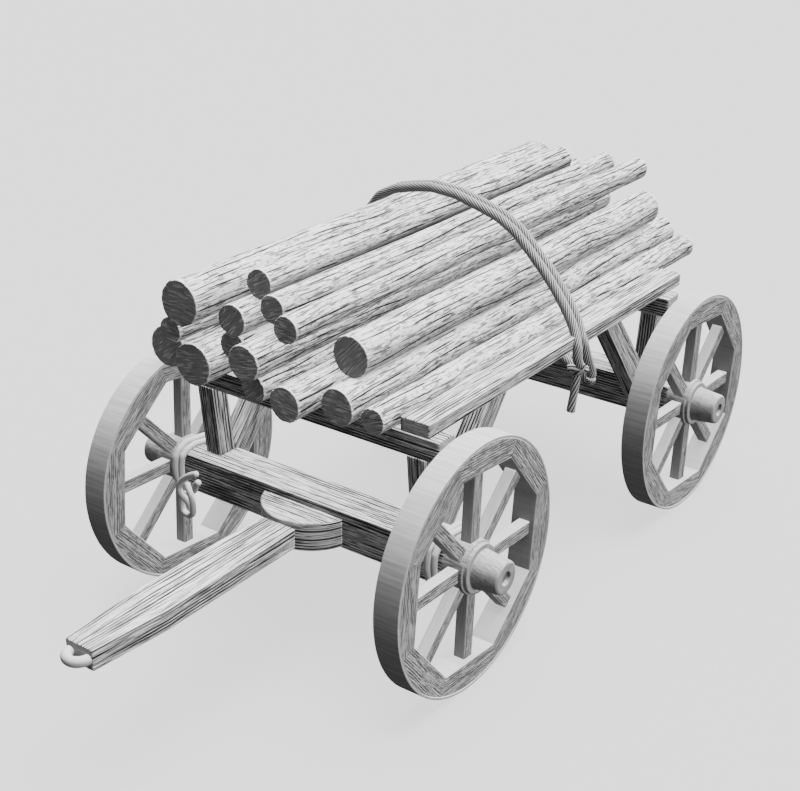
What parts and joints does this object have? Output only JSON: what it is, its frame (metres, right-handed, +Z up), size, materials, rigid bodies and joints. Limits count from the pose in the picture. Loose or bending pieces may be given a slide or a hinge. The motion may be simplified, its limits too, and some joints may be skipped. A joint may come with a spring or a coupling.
{
  "type": "tow behind cart",
  "caption": "Wooden timber cart on spoked wheels, V-braced bolsters and rails carrying a rope-lashed stack of round logs, with a swinging drawbar and towing eye.",
  "frame": {"origin": "bottom centre of the bounding box of the whole cart, on the ground between the axles", "axes": "+Z up, the drawbar points along -Y, +X to the cart's left when facing the way it is towed"},
  "size_m": [1.741, 3.72, 1.51],
  "materials": {
    "timber": "dry sawn timber, strong open grain, matt",
    "wheel_wood": "planed felloe and spoke wood, open grain, matt",
    "nave_wood": "turned wood with fine turning rings",
    "tyre_iron": "pale worn iron hoop, rolled smooth",
    "bearing_iron": "greased wrought iron",
    "eye_iron": "forged round bar, dull",
    "bark": "round logs, weathered bark with long wavy furrows, sawn ends",
    "rope": "laid three-strand rope, coarse fibre",
    "cord": "smooth cord, lightly worn"
  },
  "bodies": {
    "chassis": {"axle_arm_front_right": "bearing_iron", "axle_arm_front_left": "bearing_iron", "axle_arm_rear_right": "bearing_iron", "axle_arm_rear_left": "bearing_iron", "axle_beam_front": "timber", "bolster_front": "timber", "struts_front_right": "timber", "struts_front_left": "timber", "axle_beam_rear": "timber", "bolster_rear": "timber", "struts_rear_right": "timber", "struts_rear_left": "timber", "rail_right": "timber", "rail_left": "timber", "drawbar_block": "timber", "king_pin": "bearing_iron", "log_a": "bark", "log_b": "bark", "log_c": "bark", "log_d": "bark", "log_e": "bark", "log_f": "bark", "log_g": "bark", "log_h": "bark", "log_i": "bark", "log_j": "bark", "log_k": "bark", "log_l": "bark", "log_m": "bark", "log_n": "bark", "log_s": "bark", "log_p": "bark", "load_rope": "rope", "rope_knot": "rope", "axle_lashings": "cord"},
    "wheel_front_right": {"tyre_front_right": "tyre_iron", "felloes_front_right": "wheel_wood", "spokes_front_right": "wheel_wood", "nave_front_right": "nave_wood", "bush_front_right": "bearing_iron"},
    "wheel_front_left": {"tyre_front_left": "tyre_iron", "felloes_front_left": "wheel_wood", "spokes_front_left": "wheel_wood", "nave_front_left": "nave_wood", "bush_front_left": "bearing_iron"},
    "wheel_rear_right": {"tyre_rear_right": "tyre_iron", "felloes_rear_right": "wheel_wood", "spokes_rear_right": "wheel_wood", "nave_rear_right": "nave_wood", "bush_rear_right": "bearing_iron"},
    "wheel_rear_left": {"tyre_rear_left": "tyre_iron", "felloes_rear_left": "wheel_wood", "spokes_rear_left": "wheel_wood", "nave_rear_left": "nave_wood", "bush_rear_left": "bearing_iron"},
    "drawbar": {"drawbar": "timber", "tow_eye": "eye_iron"},
    "rope_end": {"rope_end": "rope"},
    "lashing_bight": {"lashing_bight": "cord"}
  },
  "joints": [
    {"name": "spin_front_right", "type": "hinge", "parent": "chassis", "child": "wheel_front_right", "pos_m": [0.7005, -0.565, 0.5], "axis": [1, 0, 0], "continuous": true},
    {"name": "spin_front_left", "type": "hinge", "parent": "chassis", "child": "wheel_front_left", "pos_m": [-0.7005, -0.565, 0.5], "axis": [1, 0, 0], "continuous": true},
    {"name": "spin_rear_right", "type": "hinge", "parent": "chassis", "child": "wheel_rear_right", "pos_m": [0.7005, 1.218, 0.5], "axis": [1, 0, 0], "continuous": true},
    {"name": "spin_rear_left", "type": "hinge", "parent": "chassis", "child": "wheel_rear_left", "pos_m": [-0.7005, 1.218, 0.5], "axis": [1, 0, 0], "continuous": true},
    {"name": "drawbar_swing", "type": "hinge", "parent": "chassis", "child": "drawbar", "pos_m": [0, -0.695, 0.494], "axis": [0, 0, 1], "range_deg": [-18, 18]},
    {"name": "rope_end_swing", "type": "hinge", "parent": "chassis", "child": "rope_end", "pos_m": [0.568, 0.426, 0.836], "axis": [1, 0, 0], "range_deg": [-35, 22]},
    {"name": "bight_swing", "type": "hinge", "parent": "chassis", "child": "lashing_bight", "pos_m": [-0.571, -0.6894, 0.452], "axis": [1, 0, 0], "range_deg": [-50, 0]}
  ]
}
